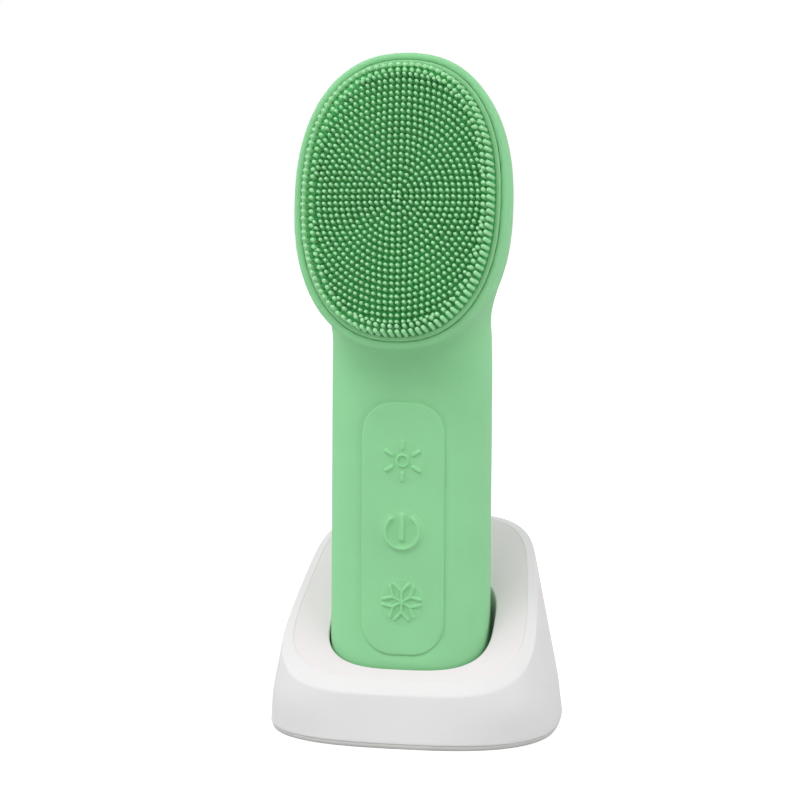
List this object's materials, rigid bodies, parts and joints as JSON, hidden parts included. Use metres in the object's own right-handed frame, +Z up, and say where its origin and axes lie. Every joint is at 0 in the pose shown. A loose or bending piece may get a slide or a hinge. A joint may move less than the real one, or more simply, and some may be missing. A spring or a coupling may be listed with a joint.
{
  "type": "facial cleansing brush",
  "caption": "Facial cleansing brush with an oval bristle head and a keypad handle, standing in a sloped charging dock.",
  "frame": {"origin": "middle of the underside of the dock's rubber foot, on the surface that it stands on", "axes": "+Z up along the standing brush; the bristles and the keypad face -Y; +X to the right seen from the front"},
  "size_m": [0.0734, 0.0641, 0.1678],
  "materials": {
    "silicone_green": "soft satin silicone",
    "bristle_green": "satin silicone bristles",
    "white_plastic": "fine satin gloss",
    "fascia_plastic": "fine matte",
    "core_plastic": "moulded matte",
    "black_plastic": "moulded matte",
    "foot_rubber": "matte rubber",
    "circuit_board": "solder mask",
    "steel": "plain",
    "aluminium": "fine satin",
    "contact_gold": "gold plated",
    "battery_foil": "laminated foil",
    "ceramic": "unglazed ceramic"
  },
  "bodies": {
    "dock": {"dock_housing": "white_plastic", "dock_fascia": "fascia_plastic", "dock_base_plate": "core_plastic", "dock_foot": "foot_rubber", "ballast_plate": "steel", "dock_board": "circuit_board", "usb_c_socket": "steel", "contact_block": "black_plastic", "dock_screw_1": "steel", "dock_screw_2": "steel", "dock_screw_3": "steel", "dock_screw_4": "steel"},
    "pin_left": {"dock_pin_left": "contact_gold"},
    "pin_right": {"dock_pin_right": "contact_gold"},
    "handset": {"silicone_body": "silicone_green", "brush_pad": "bristle_green", "pad_carrier": "core_plastic", "keypad_membrane": "silicone_green", "front_housing": "core_plastic", "rear_housing": "core_plastic", "base_cap": "silicone_green", "charge_contact_left": "contact_gold", "charge_contact_right": "contact_gold", "main_board": "circuit_board", "heat_switch": "black_plastic", "power_switch": "black_plastic", "cool_switch": "black_plastic", "battery_cell": "battery_foil", "motor_can": "steel", "motor_cradle": "foot_rubber", "heat_sink": "aluminium", "peltier_module": "ceramic", "thermal_plate": "aluminium", "plate_bezel": "core_plastic", "core_screw_1": "steel", "core_screw_2": "steel", "core_screw_3": "steel", "core_screw_4": "steel"},
    "heat_key": {"heat_key": "silicone_green", "heat_plunger": "black_plastic"},
    "power_key": {"power_key": "silicone_green", "power_plunger": "black_plastic"},
    "cool_key": {"cool_key": "silicone_green", "cool_plunger": "black_plastic"},
    "rotor": {"motor_shaft": "steel", "eccentric_weight": "steel"}
  },
  "joints": [
    {"name": "handset_lift", "type": "slide", "parent": "dock", "child": "handset", "axis": [0, 0.0349, 0.9994], "range_m": [0, 0.06]},
    {"name": "pin_left_press", "type": "slide", "parent": "dock", "child": "pin_left", "axis": [0, 0.0349, 0.9994], "range_m": [-0.0006, 0], "stiffness_N_per_m": 200},
    {"name": "pin_right_press", "type": "slide", "parent": "dock", "child": "pin_right", "axis": [0, 0.0349, 0.9994], "range_m": [-0.0006, 0], "stiffness_N_per_m": 200},
    {"name": "heat_key_press", "type": "slide", "parent": "handset", "child": "heat_key", "axis": [0, 0.9994, -0.0349], "range_m": [0, 0.0005], "stiffness_N_per_m": 800},
    {"name": "power_key_press", "type": "slide", "parent": "handset", "child": "power_key", "axis": [0, 0.9994, -0.0349], "range_m": [0, 0.0005], "stiffness_N_per_m": 800},
    {"name": "cool_key_press", "type": "slide", "parent": "handset", "child": "cool_key", "axis": [0, 0.9994, -0.0349], "range_m": [0, 0.0005], "stiffness_N_per_m": 800},
    {"name": "motor_spin", "type": "hinge", "parent": "handset", "child": "rotor", "pos_m": [0, -0.01218, 0.13067], "axis": [0, 0.1564, 0.9877], "continuous": true}
  ]
}
